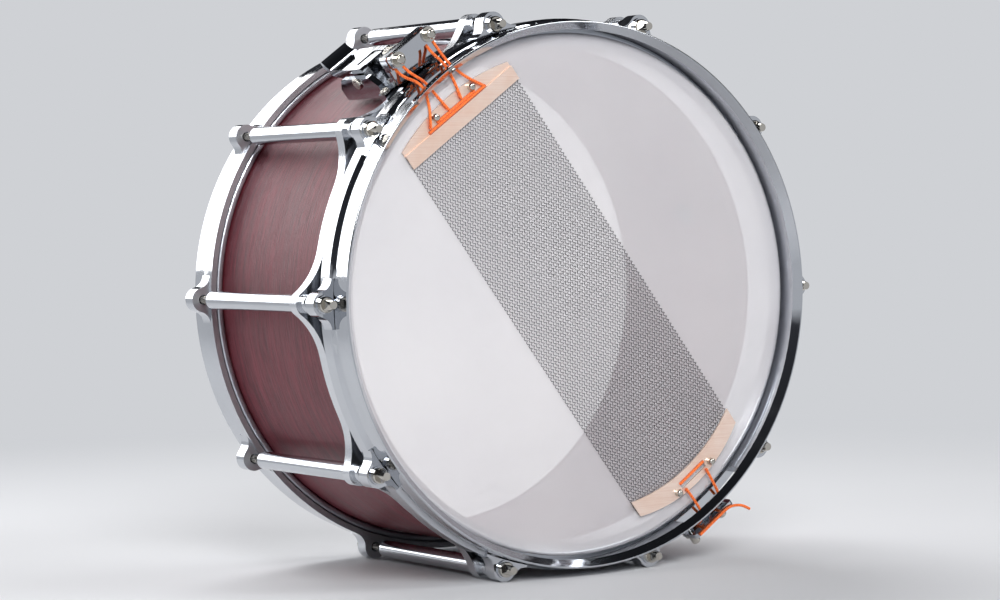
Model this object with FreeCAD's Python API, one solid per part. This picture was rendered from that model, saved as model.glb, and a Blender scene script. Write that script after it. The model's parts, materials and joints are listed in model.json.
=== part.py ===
import FreeCAD, Part
import math
import os

# A ten-lug snare drum, 14 inch across, of the free-floating kind: the undrilled wooden shell drops into a
# cast chassis ring at the snare side, and the ring alone carries the tube lugs, the strainer and the butt.
# Millimetres. The drum is modelled with its own axis along Z, snare side up and the strainer
# station along +X, and place() then stands it on its edge with the snare side facing -Y.

# ---------------------------------------------------------------- driving dimensions
# Shell
shell_radius = 177.0
shell_wall = 7.5
drum_depth = 188.0                 # bearing edge to bearing edge
edge_round = 3.0                   # outer roundover of both bearing edges
# Heads
film_thick = 0.3
collar_gap = 0.25                  # film collar off the shell
collar_depth = 9.5
flesh_width = 5.0
flesh_height = 9.0
flesh_round = 1.8                  # round lower corners of the flesh hoop
flesh_drop = 6.0                   # top of the flesh hoop below the head
# Die-cast hoops
hoop_clear = 0.6                   # skirt off the flesh hoop
skirt_wall = 4.0
skirt_below = 15.4                 # lower edge of the skirt below the head
skirt_height = 10.8
cove_height = 5.4
rim_above = 15.0                   # rim above the head
rim_step = 2.5                     # rim wall set in from the skirt
rim_wall = 5.6
rim_bevel_height = 4.8
rim_top_land = 1.3
hoop_ear_thick = 11.0
hoop_ear_below = 1.5               # front face of the ears below the head
hoop_ear_fillet = 9.5
# Lugs and tension rods
lug_count = 10
rod_out = 4.35                     # rods' axes outside the hoop's skirt
ear_boss = 8.5                     # radius of every ear round its rod: the drum stands on four of them
rod_diameter = 5.5
rod_hole_clear = 0.75
thread_clear = 0.15
rod_flange_radius = 5.3
rod_flange_thick = 2.0
rod_square = 6.3
rod_square_height = 8.0
rod_grip = 46.0                    # shank below the washer
washer_radius = 6.2
washer_thick = 1.5
tube_radius = 6.1
tube_bore = 4.4
tube_short = 28.0                  # the tube lugs end this far from the batter head
bushing_radius = 6.4
bushing_height = 7.0
bushing_shank = 24.0
insert_height = 4.0
insert_nose_radius = 4.6
fit_clear = 0.1
# Chassis ring
chassis_step = 5.0                 # flange outside the shell
chassis_thick = 9.0
chassis_below = 24.9               # front face of the flange below the head
shell_seat = 4.0                   # depth of the rebate that takes the shell's end
seat_clear = 0.3
chassis_ear_fillet = 48.0
chassis_screw_depth = 9.0          # blind holes for the mounting screws
# Air vent
vent_radius = 6.0
vent_wall = 1.0
vent_lip = 2.6
vent_angle = 18.0
# Snare gates in the snare-side rim
station = 126.0                    # strainer; the butt is opposite
gate_half_angle = 9.5
gate_below = 0.3                   # sill of the gate below the head
gate_top = 10.5                    # top of the gate above the head
# Snare wires
strand_count = 42
strand_pitch = 2.44
strand_radius = 1.0
strand_gap = 0.05                  # wires off the film
strand_end_gap = 0.3               # wires' ends off the fold of the strainer plate
strand_under_butt = 3.9            # wires' ends past the middle of the butt plate's inner edge
# End plates: each edge lies this far inside the shell's outer wall
plate_half_width = 51.0
plate_thick = 1.2
strainer_inner_inset = 33.5
strainer_tip_inset = 20.0
strainer_outer_inset = 11.5
fold_inset = 23.0                  # outer face of the strainer plate's fold
plate_fold_drop = 1.6              # its outer part lies this much lower
butt_corner_inset = 35.8
butt_inner_inset = 25.4
butt_tip_inset = 23.3
butt_outer_inset = 11.0
butt_lace_inset = 19.8
plate_screw_inset = 16.0
butt_slot = 3.0                    # open slot beside the butt's lacing
lace_bite = 0.6
lace_clear = 0.2
plate_screw_spacing = 34.4
plate_screw_radius = 2.6
plate_screw_height = 4.2
plate_screw_round = 1.9
plate_screw_shank = 1.3
# Snare cords
cord_radius = 1.0
cord_slack = 0.1                   # on each side between the clamp's jaws
cord_over = 0.25                   # legs off the plates
leg_start = 0.7                    # legs start this far outside their lacing
cord_leg_gap = 2.4                 # legs of one loop at the gate
clamp_leg_gap = 5.8                # legs of one loop either side of a clamp screw
plate_leg_gap = 19.0               # legs of one loop at the strainer plate
loop_at_plate = 15.5               # middle of each strainer loop at the plate, the gate
loop_at_gate = 10.8
lace_half_strainer = 27.0
lace_half_second = 18.0            # second, shorter run of the strainer's lacing
lace_half_butt = 12.5
# Strainer
mount_clear = 0.05
base_half_width = 20.0
base_end_below = 87.5              # ends of the channel below the head
rail_top_below = 37.5
base_height = 15.0                 # radial height of the side rails above the ring
base_floor = 1.6
rail_wall = 4.4
end_wall = 6.0
end_sill = 6.6                     # height of the end wall above the channel's floor
base_chamfer = 7.0
foot_half_width = 26.0
foot_height = 9.6
foot_thick = 4.4
foot_corner = 3.0
foot_screw_spacing = 46.0
foot_screw_radius = 3.4
foot_shank_radius = 1.7
foot_head_height = 2.6
slider_clear = 0.15
slider_thick = 3.2
slider_side_clear = 0.3
slider_low_below = 79.5
slider_step_below = 22.5           # the slider clears the hoop's skirt above this height
slider_knee = 9.0                  # height of the knee between slide and riser
jaw_above_step = 13.0
skirt_clear = 1.5
jaw_half_width = 19.5
jaw_height = 7.8
jaw_reach = 21.5
jaw_corner = 2.5
jaw_relief = 4.0                   # the jaw is this much lower inside its land
jaw_land = 1.0                     # land inside the clamp bar
clamp_thick = 4.0
clamp_depth = 9.0
clamp_screw_spacing = 28.5
clamp_screw_radius = 5.2
clamp_screw_flange = 1.4
clamp_head_radius = 3.2
clamp_head_height = 4.2
clamp_head_round = 1.4
clamp_shank_radius = 1.5
pivot_below = 61.5                 # lever's axis below the head
pivot_out = 11.4                   # radially from the ring's edge
pivot_radius = 2.5
crank_throw = 3.1
crank_radius = 2.0
crank_half_turn = 50.0
crank_clear = 0.35
cheek_half_gap = 8.6
cheek_half_width = 14.2
lever_boss = 6.0
mouth_depth = 10.5                 # opening between the cheeks below the pivot
lug_wall = 1.7                     # metal round the crank's slot
lever_length = 47.0
lever_thick = 6.0
lever_lift = 7.6                   # outer face of the lever above its pivot
lever_taper = 4.0                  # degrees on each side below the mouth
lever_curl = 12.0                  # length of the curled thumb end
knob_radius = 5.0
knob_height = 8.0
knob_flutes = 12
knob_side = 6.5
knob_stem = 1.75
# Butt
butt_low_below = 39.5
butt_half_width = 18.5
butt_jaw_top_below = 14.0
butt_jaw = 8.0
butt_clamp_thick = 3.2
butt_clamp_low_below = 23.5
butt_clamp_top_below = 4.5
butt_screw_length = 9.0
# Working values
past = 5.0                         # how far a cutter runs past what it cuts
rim_edge_round = 0.8

# ---------------------------------------------------------------- worked out from them
head_z = drum_depth / 2.0
shell_inner = shell_radius - shell_wall
collar_inner = shell_radius + collar_gap
flesh_inner = collar_inner + film_thick
flesh_outer = flesh_inner + flesh_width
flesh_top = head_z - flesh_drop
skirt_inner = flesh_outer + hoop_clear
skirt_radius = skirt_inner + skirt_wall
rod_circle = skirt_radius + rod_out
rim_radius = skirt_radius - rim_step
rim_inner = rim_radius - rim_wall
skirt_bottom = head_z - skirt_below
rim_top = head_z + rim_above
ear_front = head_z - hoop_ear_below
ear_back = ear_front - hoop_ear_thick
chassis_radius = shell_radius + chassis_step
chassis_front = head_z - chassis_below
chassis_back = chassis_front - chassis_thick
shell_end = chassis_back + shell_seat
tube_end = tube_short - head_z
lug_angles = [360.0 / lug_count * i for i in range(lug_count)]
rod_radius = rod_diameter / 2.0
axis_height = rod_circle * math.sin(math.radians(72.0)) + ear_boss
strand_z = head_z + film_thick + strand_gap + strand_radius
plate_low = strand_z + strand_radius
plate_top = plate_low + plate_thick
folded_top = plate_top - plate_fold_drop
butt_lace_z = plate_top - lace_bite + cord_radius
strainer_lace_z = folded_top - lace_bite + cord_radius
strainer_plate_inner = shell_radius - strainer_inner_inset
strainer_plate_tip = shell_radius - strainer_tip_inset
strainer_plate_outer = shell_radius - strainer_outer_inset
plate_fold = shell_radius - fold_inset
butt_plate_corner = shell_radius - butt_corner_inset
butt_plate_inner = shell_radius - butt_inner_inset
butt_plate_tip = shell_radius - butt_tip_inset
butt_plate_outer = shell_radius - butt_outer_inset
butt_lace_r = shell_radius - butt_lace_inset
plate_screw_r = shell_radius - plate_screw_inset
strainer_lace_r = plate_fold + cord_radius + cord_slack
second_lace_r = strainer_lace_r + 2.0 * cord_radius + cord_slack
butt_station = station + 180.0
base_r = chassis_radius + mount_clear
rail_r = base_r + base_height
floor_r = base_r + base_floor
slider_r = floor_r + slider_clear
slider_out = slider_r + slider_thick
rail_inner_y = base_half_width - rail_wall
base_end = head_z - base_end_below
rail_top = head_z - rail_top_below
slider_low = head_z - slider_low_below
slider_step = head_z - slider_step_below
pivot_height = head_z - pivot_below
butt_low = head_z - butt_low_below
butt_jaw_top = head_z - butt_jaw_top_below
butt_clamp_low = head_z - butt_clamp_low_below
butt_clamp_top = head_z - butt_clamp_top_below
jaw_r = skirt_radius + skirt_clear
jaw_out = jaw_r + jaw_reach
jaw_top = slider_step + jaw_above_step
jaw_low = jaw_top - jaw_height
clamp_low = jaw_top + 2.0 * (cord_radius + cord_slack)
clamp_r = jaw_out - clamp_depth
clamp_mid_r = jaw_out - clamp_depth / 2.0
cord_clamp_z = (jaw_top + clamp_low) / 2.0
over_sill = head_z - gate_below + 4.0 * cord_radius
pivot_r = base_r + pivot_out
foot_low = chassis_front - foot_height
foot_screw_z = (shell_end + chassis_front) / 2.0


# ---------------------------------------------------------------- helpers
def vec(x, y, z=0.0):
    return FreeCAD.Vector(x, y, z)


def box(x0, x1, y0, y1, z0, z1):
    return Part.makeBox(x1 - x0, y1 - y0, z1 - z0, vec(x0, y0, z0))


def rod(radius, z0, z1, x=0.0, y=0.0):
    return Part.makeCylinder(radius, z1 - z0, vec(x, y, z0))


def cross_pin(radius, y0, y1, x, z):
    return Part.makeCylinder(radius, y1 - y0, vec(x, y0, z), vec(0, 1, 0))


def radial_pin(radius, x0, x1, y, z):
    return Part.makeCylinder(radius, x1 - x0, vec(x0, y, z), vec(1, 0, 0))


def revolve(edges):
    """Turn a closed profile, drawn as (radius, height) edges, once round the drum's axis."""
    face = Part.Face(Part.Wire(edges))
    return face.revolve(vec(0, 0, 0), vec(0, 0, 1), 360.0)


def line(a, b):
    return Part.makeLine(vec(a[0], 0, a[1]), vec(b[0], 0, b[1]))


def arc(a, m, b):
    return Part.Arc(vec(a[0], 0, a[1]), vec(m[0], 0, m[1]), vec(b[0], 0, b[1])).toShape()


def polyline(points):
    return [line(points[i], points[i + 1]) for i in range(len(points) - 1)]


def turned(shape, angle):
    """A copy turned round the drum's axis."""
    copy = shape.copy()
    copy.rotate(vec(0, 0, 0), vec(0, 0, 1), angle)
    return copy


def flipped(shape):
    """The batter-side copy of a snare-side piece."""
    return shape.mirror(vec(0, 0, 0), vec(0, 0, 1))


def place(shape):
    """Stand the drum on its edge, snare side towards -Y, its ears on the floor."""
    copy = shape.copy()
    copy.rotate(vec(0, 0, 0), vec(1, 0, 0), 90.0)
    copy.translate(vec(0, 0, axis_height))
    return copy


def save(name, shapes):
    solids = []
    for shape in shapes:
        solids.extend(place(shape).Solids)
    whole = solids[0] if len(solids) == 1 else Part.makeCompound(solids)
    whole.exportStep("parts/%s.step" % name)


def at_lugs(shape):
    return [turned(shape, angle) for angle in lug_angles]


def ear(ring_radius, fillet_radius, z0, z1, boss_radius=ear_boss):
    """One ear on the +X side: a round boss blended into the ring by two hollow fillets."""
    reach = ring_radius + fillet_radius
    span = boss_radius + fillet_radius
    cosine = (reach**2 + rod_circle**2 - span**2) / (2.0 * reach * rod_circle)
    spread = math.acos(cosine)
    root = ring_radius - 1.8
    ends = {}
    arcs = []
    for side in (1.0, -1.0):
        centre = vec(reach * math.cos(spread), side * reach * math.sin(spread))
        boss = vec(rod_circle, 0.0)
        on_ring = vec(ring_radius * math.cos(spread), side * ring_radius * math.sin(spread))
        to_boss = (centre - boss).normalize()
        on_boss = boss + to_boss * boss_radius
        bisector = ((on_ring - centre).normalize() + (on_boss - centre).normalize()).normalize()
        middle = centre + bisector * fillet_radius
        arcs.append(Part.Arc(on_ring, middle, on_boss).toShape())
        ends[side] = (on_ring, on_boss)
    tip = Part.Arc(ends[1.0][1], vec(rod_circle + boss_radius, 0.0), ends[-1.0][1]).toShape()
    inner = [vec(root * math.cos(spread), side * root * math.sin(spread)) for side in (1.0, -1.0)]
    sides = [
        Part.makeLine(ends[1.0][0], inner[0]),
        Part.Arc(inner[0], vec(root, 0.0), inner[1]).toShape(),
        Part.makeLine(inner[1], ends[-1.0][0]),
    ]
    wire = Part.Wire(Part.__sortEdges__(arcs + [tip] + sides))
    solid = Part.Face(wire).extrude(vec(0, 0, z1 - z0))
    solid.translate(vec(0, 0, z0))
    return solid


def tube_along(points, radius):
    """A round tube along straight runs joined by tangent arcs, and the arcs' radii."""
    runs = [(points[i + 1] - points[i]).Length for i in range(len(points) - 1)]
    edges = []
    radii = []
    start = points[0]
    for i in range(1, len(points) - 1):
        before = (points[i] - points[i - 1]).normalize()
        after = (points[i + 1] - points[i]).normalize()
        half_turn = before.getAngle(after) / 2.0
        setback = 0.45 * min(runs[i - 1], runs[i])
        bend = setback / math.tan(half_turn)
        first = points[i] - before * setback
        last = points[i] + after * setback
        inward = (after - before).normalize()
        sagitta = bend / math.cos(half_turn) - bend
        middle = points[i] + inward * sagitta
        edges.append(Part.LineSegment(start, first).toShape())
        edges.append(Part.Arc(first, middle, last).toShape())
        radii.append(bend)
        start = last
    edges.append(Part.LineSegment(start, points[-1]).toShape())
    path = Part.Wire(edges)
    direction = (points[1] - points[0]).normalize()
    section = Part.Wire(Part.makeCircle(radius, points[0], direction))
    return path.makePipeShell([section], True, False), radii


# ---------------------------------------------------------------- shell and heads
def bearing_edge(z_from):
    """Profile edges of a bearing edge from the outer wall over the crown to the inner wall."""
    crown = shell_radius - edge_round
    quarter = edge_round * (1.0 - math.sqrt(0.5))
    bevel_foot = head_z - (crown - shell_inner)
    return [
        line((shell_radius, z_from), (shell_radius, head_z - edge_round)),
        arc((shell_radius, head_z - edge_round), (shell_radius - quarter, head_z - quarter), (crown, head_z)),
        line((crown, head_z), (shell_inner, bevel_foot)),
    ], bevel_foot


def make_shell():
    end = -shell_end
    top, bevel_foot = bearing_edge(end)
    profile = top + polyline([(shell_inner, bevel_foot), (shell_inner, end), (shell_radius, end)])
    shell = flipped(revolve(profile))
    hole = turned(radial_pin(vent_radius, shell_inner - past, shell_radius + past, 0.0, 0.0), vent_angle)
    return shell.cut(hole)


def make_air_vent():
    """A turned eyelet whose lips close over the shell inside and out."""
    inside = shell_inner - vent_wall
    outside = shell_radius + vent_wall
    barrel = radial_pin(vent_radius - fit_clear, inside, outside, 0.0, 0.0)
    outer_lip = radial_pin(vent_radius + vent_lip, shell_radius - 0.3, outside, 0.0, 0.0)
    inner_lip = radial_pin(vent_radius + vent_lip, inside, shell_inner + 0.3, 0.0, 0.0)
    reach = vent_radius + vent_lip + past
    outer_lip = outer_lip.cut(rod(shell_radius, -reach, reach))
    inner_lip = inner_lip.common(rod(shell_inner, -reach, reach))
    eyelet = barrel.fuse([outer_lip, inner_lip])
    eyelet = eyelet.cut(radial_pin(vent_radius - vent_wall, inside - 1.0, outside + 1.0, 0.0, 0.0))
    return turned(eyelet.removeSplitter(), vent_angle)


def make_head():
    """Tensioned film with its collar running down into the flesh hoop."""
    low = head_z - collar_depth
    bend = edge_round + collar_gap
    mid = bend * (1.0 - math.sqrt(0.5))
    outer = collar_inner + film_thick
    top = head_z + film_thick
    bend_out = bend + film_thick
    mid_out = bend_out * (1.0 - math.sqrt(0.5))
    inner_edge = [
        line((0.0, head_z), (collar_inner - bend, head_z)),
        arc((collar_inner - bend, head_z), (collar_inner - mid, head_z - mid), (collar_inner, head_z - bend)),
        line((collar_inner, head_z - bend), (collar_inner, low)),
    ]
    outer_edge = [
        line((collar_inner, low), (outer, low)),
        line((outer, low), (outer, top - bend_out)),
        arc((outer, top - bend_out), (outer - mid_out, top - mid_out), (outer - bend_out, top)),
        line((outer - bend_out, top), (0.0, top)),
        line((0.0, top), (0.0, head_z)),
    ]
    return revolve(inner_edge + outer_edge)


def make_flesh_hoop():
    low = flesh_top - flesh_height
    turn = flesh_round
    mid = turn * (1.0 - math.sqrt(0.5))
    return revolve([
        arc((flesh_inner, low + turn), (flesh_inner + mid, low + mid), (flesh_inner + turn, low)),
        line((flesh_inner + turn, low), (flesh_outer - turn, low)),
        arc((flesh_outer - turn, low), (flesh_outer - mid, low + mid), (flesh_outer, low + turn)),
    ] + polyline([
        (flesh_outer, low + turn), (flesh_outer, flesh_top),
        (flesh_inner, flesh_top), (flesh_inner, low + turn),
    ]))


# ---------------------------------------------------------------- hoops
def hoop_ring():
    """Section of the die-cast hoop: skirt, hollow cove, rim wall and its inner bevel."""
    skirt_top = skirt_bottom + skirt_height
    wall_foot = skirt_top + cove_height
    land = rim_radius - rim_top_land
    edge = rim_edge_round
    mid = edge * (1.0 - math.sqrt(0.5))
    bevel_low = rim_top - rim_bevel_height
    hollow = (rim_radius + 0.25 * rim_step, skirt_top + 0.4 * cove_height)
    profile = [
        line((skirt_inner, skirt_bottom), (skirt_radius, skirt_bottom)),
        line((skirt_radius, skirt_bottom), (skirt_radius, skirt_top)),
        arc((skirt_radius, skirt_top), hollow, (rim_radius, wall_foot)),
        line((rim_radius, wall_foot), (rim_radius, rim_top - edge)),
        arc((rim_radius, rim_top - edge), (rim_radius - mid, rim_top - mid), (rim_radius - edge, rim_top)),
    ]
    profile += polyline([
        (rim_radius - edge, rim_top), (land, rim_top), (rim_inner, bevel_low), (rim_inner, flesh_top),
        (skirt_inner, flesh_top), (skirt_inner, skirt_bottom),
    ])
    return revolve(profile)


def make_hoop():
    hoop = hoop_ring().fuse(at_lugs(ear(skirt_radius, hoop_ear_fillet, ear_back, ear_front)))
    hole = rod(rod_radius + rod_hole_clear, ear_back - past, ear_front + past, rod_circle)
    return hoop.cut(at_lugs(hole)).removeSplitter()


def gate_cutter():
    """Sector that opens the rim wall for the snare cords, under an unbroken top bead."""
    half = math.radians(gate_half_angle)
    inner = rim_inner - 3.0
    outer = skirt_radius + 8.0
    points = [
        vec(inner * math.cos(half), -inner * math.sin(half)),
        vec(outer * math.cos(half), -outer * math.sin(half)),
        vec(outer * math.cos(half), outer * math.sin(half)),
        vec(inner * math.cos(half), inner * math.sin(half)),
    ]
    face = Part.Face(Part.makePolygon(points + [points[0]]))
    cutter = face.extrude(vec(0, 0, gate_below + gate_top))
    cutter.translate(vec(0, 0, head_z - gate_below))
    return cutter


def make_snare_hoop():
    hoop = make_hoop()
    return hoop.cut([turned(gate_cutter(), station), turned(gate_cutter(), butt_station)])


# ---------------------------------------------------------------- chassis ring and lugs
def foot_holes():
    half = foot_screw_spacing / 2.0
    hole = foot_shank_radius + rod_hole_clear / 2.0
    deep = chassis_radius - chassis_screw_depth
    outside = base_r + foot_thick + past
    return [radial_pin(hole, deep, outside, side * half, foot_screw_z) for side in (-1.0, 1.0)]


def make_chassis_ring():
    """Cast ring: outer flange with the lug ears, rebate for the shell and the snare-side bearing edge."""
    top, bevel_foot = bearing_edge(chassis_front)
    rebate = shell_radius + seat_clear
    profile = top + polyline([
        (shell_inner, bevel_foot), (shell_inner, shell_end), (rebate, shell_end), (rebate, chassis_back),
        (chassis_radius, chassis_back), (chassis_radius, chassis_front), (shell_radius, chassis_front),
    ])
    lug = ear(chassis_radius, chassis_ear_fillet, chassis_back, chassis_front)
    ring = revolve(profile).fuse(at_lugs(lug))
    holes = at_lugs(rod(tube_bore, chassis_back - past, chassis_front + past, rod_circle))
    for angle in (station, butt_station):
        holes += [turned(hole, angle) for hole in foot_holes()]
    return ring.cut(holes).removeSplitter()


def make_tube_lug():
    tube = rod(tube_radius, tube_end, chassis_back, rod_circle)
    return tube.cut(rod(tube_bore, tube_end - 1.0, chassis_back + 1.0, rod_circle))


def make_bushing():
    """Flanged bush that clamps a tube to the ring; the snare-side rod threads into it."""
    flange = rod(bushing_radius, chassis_front, chassis_front + bushing_height, rod_circle)
    top = chassis_front + bushing_height
    flange = flange.makeChamfer(0.7, [edge for edge in flange.Edges if edge.BoundBox.ZMin > top - 0.1])
    low = chassis_front - bushing_shank
    shank = rod(tube_bore - fit_clear, low, chassis_front, rod_circle)
    bore = rod(rod_radius + thread_clear, low - past, top + past, rod_circle)
    return flange.fuse(shank).cut(bore)


def make_insert():
    """Tapered collar screwed into the tube's batter end; the batter-side rod threads into it."""
    nose = tube_end - insert_height
    inside = tube_end + bushing_shank
    cone = Part.makeCone(insert_nose_radius, tube_radius, insert_height, vec(rod_circle, 0, nose))
    shank = rod(tube_bore - fit_clear, tube_end, inside, rod_circle)
    bore = rod(rod_radius + thread_clear, nose - past, inside + past, rod_circle)
    return cone.fuse(shank).cut(bore)


def make_washer():
    top = ear_front + washer_thick
    disc = rod(washer_radius, ear_front, top, rod_circle)
    return disc.cut(rod(rod_radius + thread_clear, ear_front - past, top + past, rod_circle))


def make_tension_rod():
    """Key rod: shank, round flange and a square head with rounded corners."""
    seat = ear_front + washer_thick
    shank = rod(rod_radius, seat - rod_grip, seat, rod_circle)
    flange = rod(rod_flange_radius, seat, seat + rod_flange_thick, rod_circle)
    rim = [edge for edge in flange.Edges if edge.BoundBox.ZMin > seat + 0.5]
    flange = flange.makeChamfer(0.6, rim)
    half = rod_square / 2.0
    top = seat + rod_flange_thick + rod_square_height
    head = box(rod_circle - half, rod_circle + half, -half, half, seat + rod_flange_thick, top)
    foot = vec(rod_circle, 0, top - rod_square_height)
    crown = Part.makeCone(half * 1.45, half * 0.85, rod_square_height, foot)
    return shank.fuse([flange, head.common(crown)])


# ---------------------------------------------------------------- snare wires
def snare_strands():
    to_strainer = plate_fold - plate_thick - strand_end_gap
    to_butt = butt_plate_inner + strand_under_butt
    strands = []
    for i in range(strand_count):
        side = (i - (strand_count - 1) / 2.0) * strand_pitch
        strands.append(radial_pin(strand_radius, -to_butt, to_strainer, side, strand_z))
    return strands


def plate_blank(corner, inner, tip, outer, low, high):
    """Blank on the +X side: straight ends, an arched outer edge and a straight or hollow inner edge."""
    wide = plate_half_width
    left, right = vec(corner, -wide, low), vec(corner, wide, low)
    left_tip, right_tip = vec(tip, -wide, low), vec(tip, wide, low)
    edges = [
        Part.makeLine(left, left_tip),
        Part.Arc(left_tip, vec(outer, 0.0, low), right_tip).toShape(),
        Part.makeLine(right_tip, right),
    ]
    if inner == corner:
        edges.append(Part.makeLine(right, left))
    else:
        edges.append(Part.Arc(right, vec(inner, 0.0, low), left).toShape())
    return Part.Face(Part.Wire(edges)).extrude(vec(0, 0, high - low))


def lace_groove(r, half, top):
    """Cutter for the groove that one run of lacing beds in."""
    wide = cord_radius + lace_clear
    end = half + lace_clear
    return box(r - wide, r + wide, -end, end, top - lace_bite - cord_slack, top + past)


def plate_screw_points():
    return [(plate_screw_r, side * plate_screw_spacing / 2.0) for side in (-1.0, 1.0)]


def plate_screw_holes(low, top):
    hole = plate_screw_shank + fit_clear
    return [rod(hole, low - past, top + past, x, y) for x, y in plate_screw_points()]


def make_strainer_plate():
    """Copper end plate, folded down outside the wires' ends, with its lacing along the fold."""
    inner, outer = strainer_plate_inner, strainer_plate_outer
    folded_low = plate_low - plate_fold_drop
    wide = plate_half_width + past
    plate = plate_blank(inner, inner, strainer_plate_tip, outer, folded_low, plate_top)
    under_wires = box(inner - past, plate_fold - plate_thick, -wide, wide, folded_low - past, plate_low)
    over_fold = box(plate_fold, outer + past, -wide, wide, folded_top, plate_top + past)
    grooves = [
        lace_groove(strainer_lace_r, lace_half_strainer, folded_top),
        lace_groove(second_lace_r, lace_half_second, folded_top),
    ]
    return plate.cut([under_wires, over_fold] + grooves + plate_screw_holes(folded_low, folded_top))


def make_butt_plate():
    """Copper end plate with a hollow inner edge, and an open slot that its lacing passes through."""
    inner, outer = butt_plate_inner, butt_plate_outer
    plate = plate_blank(butt_plate_corner, inner, butt_plate_tip, outer, plate_low, plate_top)
    wide = lace_half_butt + lace_clear
    slot_low = butt_lace_r + cord_radius + lace_clear
    slot = box(slot_low, slot_low + butt_slot, -wide, wide, plate_low - past, plate_top + past)
    groove = lace_groove(butt_lace_r, lace_half_butt, plate_top)
    return plate.cut([slot, groove] + plate_screw_holes(plate_low, plate_top))


def make_plate_screws(top):
    """Domed screws through an end plate whose upper face is at this height."""
    pieces = []
    for x, y in plate_screw_points():
        dome = rod(plate_screw_radius, top, top + plate_screw_height, x, y)
        rim = [edge for edge in dome.Edges if edge.BoundBox.ZMin > top + plate_screw_height - 0.1]
        dome = dome.makeFillet(plate_screw_round, rim)
        shank = rod(plate_screw_shank, top - plate_thick, top, x, y)
        pieces.append(dome.fuse(shank))
    return pieces


# ---------------------------------------------------------------- strainer and butt
def make_feet():
    """Ears that carry a block on the ring's edge, with their screw holes."""
    low, high = foot_low - past, chassis_front + past
    foot = box(base_r - past, base_r + foot_thick, -foot_half_width, foot_half_width, foot_low, chassis_front)
    upright = [e for e in foot.Edges if e.BoundBox.XLength > past and e.BoundBox.ZMax < foot_low + 0.1]
    foot = foot.makeFillet(foot_corner, upright)
    flare = ear(base_r, chassis_ear_fillet - mount_clear, low, high, ear_boss + mount_clear)
    sides = [turned(flare, side * 180.0 / lug_count) for side in (-1.0, 1.0)]
    return foot.cut([rod(base_r, low, high)] + sides)


def make_strainer_base():
    """Open channel on the chassis ring: floor, two side rails and a closed lower end."""
    wide = base_half_width
    block = box(base_r - past, rail_r, -wide, wide, base_end, rail_top)
    edges = [e for e in block.Edges if e.BoundBox.XMin > rail_r - 0.1 and e.BoundBox.ZLength < 0.1]
    block = block.makeChamfer(base_chamfer, edges)
    tongue = box(base_r - past, base_r + foot_thick, -wide, wide, rail_top - past, chassis_front)
    block = block.fuse(tongue).cut(rod(base_r, base_end - past, chassis_front + past))
    half, above = rail_inner_y, rail_r + past
    channel = box(floor_r, above, -half, half, base_end + end_wall, chassis_front + past)
    throat = box(floor_r + end_sill, above, -half, half, base_end - past, rail_top)
    pivots = cross_pin(pivot_radius, -wide - past, wide + past, pivot_r, pivot_height)
    base = block.fuse(make_feet())
    return base.cut([channel, throat, pivots] + foot_holes()).removeSplitter()


def make_slider():
    """Flat slide with a slotted crank lug and the lower jaw of the cord clamp at its head."""
    half = rail_inner_y - slider_side_clear
    riser_out = jaw_r + slider_thick
    bar = box(slider_r, slider_out, -half, half, slider_low, slider_step)
    knee = box(slider_r, riser_out, -half, half, slider_step - slider_knee, slider_step)
    riser = box(jaw_r, riser_out, -half, half, slider_step - slider_knee, jaw_top)
    jaw = box(jaw_r, jaw_out, -jaw_half_width, jaw_half_width, jaw_low, jaw_top)
    wide = jaw_half_width + past
    relief = box(jaw_r - past, clamp_r - jaw_land, -wide, wide, jaw_top - jaw_relief, jaw_top + past)
    corners = [e for e in jaw.Edges if e.BoundBox.ZLength > 1.0 and e.BoundBox.XMin > jaw_out - 1.0]
    jaw = jaw.makeFillet(jaw_corner, corners)
    crank_z = pivot_height - crank_throw * math.sin(math.radians(crank_half_turn))
    slot_half = crank_radius + crank_clear
    slot_in = pivot_r + crank_throw * math.cos(math.radians(crank_half_turn)) - slot_half
    slot_out = pivot_r + crank_throw + slot_half
    lug_half = cheek_half_gap - 0.8
    lug_low = crank_z - slot_half - 2.0 * lug_wall
    lug_top = crank_z + slot_half + lug_wall
    lug = box(slider_r, slot_out + lug_wall, -lug_half, lug_half, lug_low, lug_top)
    slot = box(slot_in, slot_out, -lug_half - past, lug_half + past, crank_z - slot_half, crank_z + slot_half)
    slider = bar.fuse([knee, riser, jaw, lug]).cut(relief)
    tapped = clamp_shank_radius + thread_clear
    holes = [rod(tapped, jaw_low - past, jaw_top + past, clamp_mid_r, y) for y in clamp_screw_sides()]
    stem = rod(knob_stem + thread_clear, jaw_low - past, jaw_top + past, clamp_mid_r, knob_side)
    return slider.cut([slot, stem] + holes).removeSplitter()


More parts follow.
